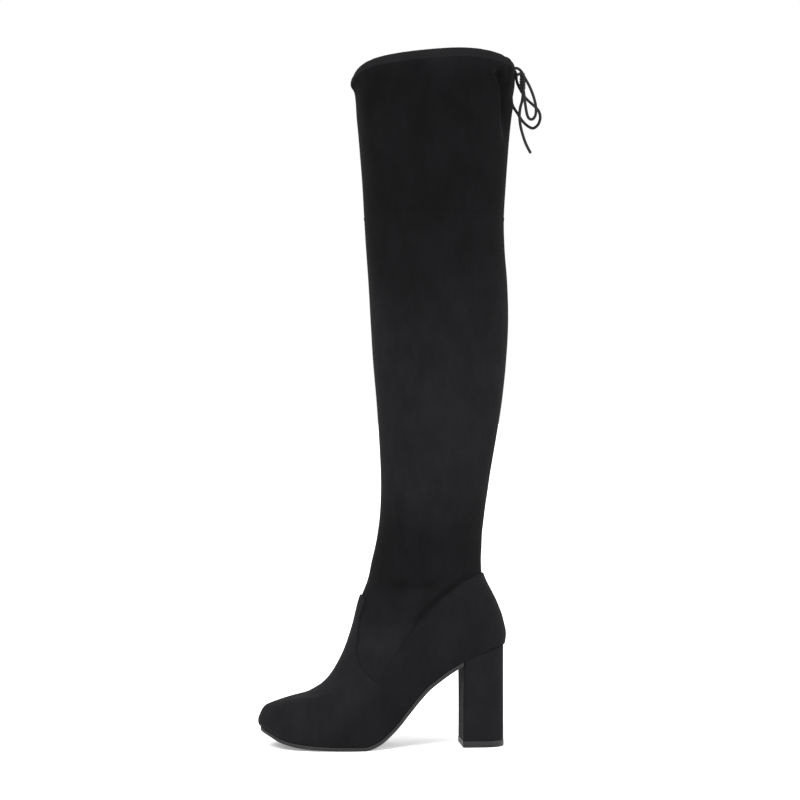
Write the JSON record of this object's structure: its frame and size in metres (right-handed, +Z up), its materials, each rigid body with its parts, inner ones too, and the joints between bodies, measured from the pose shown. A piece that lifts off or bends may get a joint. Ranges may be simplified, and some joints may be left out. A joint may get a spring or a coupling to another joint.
{
  "type": "thigh high boot",
  "caption": "Thigh high pull-on boot for the left foot in soft black microsuede, with a round toe, a covered block heel and a drawstring bow at the back of the collar.",
  "frame": {"origin": "on the floor, in the middle of the boot's footprint between toe tip and heel", "axes": "+Z up, -Y towards the toe, +X towards the outer side of the left foot"},
  "size_m": [0.104, 0.2649, 0.6439],
  "materials": {
    "microsuede": "soft matt nap",
    "panel_suede": "soft matt nap",
    "sole_rubber": "satin",
    "lift_rubber": "satin",
    "sock_lining": "matt",
    "cord_braid": "matt"
  },
  "bodies": {
    "root": {"upper": "microsuede", "vamp_panel": "panel_suede", "heel_counter_panel": "panel_suede", "outsole": "sole_rubber", "insole": "sock_lining", "heel_block": "microsuede", "top_lift": "lift_rubber", "drawstring_knot": "cord_braid", "drawstring_lead_outer": "cord_braid", "drawstring_lead_inner": "cord_braid", "drawstring_loop_outer": "cord_braid", "drawstring_loop_inner": "cord_braid", "drawstring_tail": "cord_braid"}
  },
  "joints": []
}
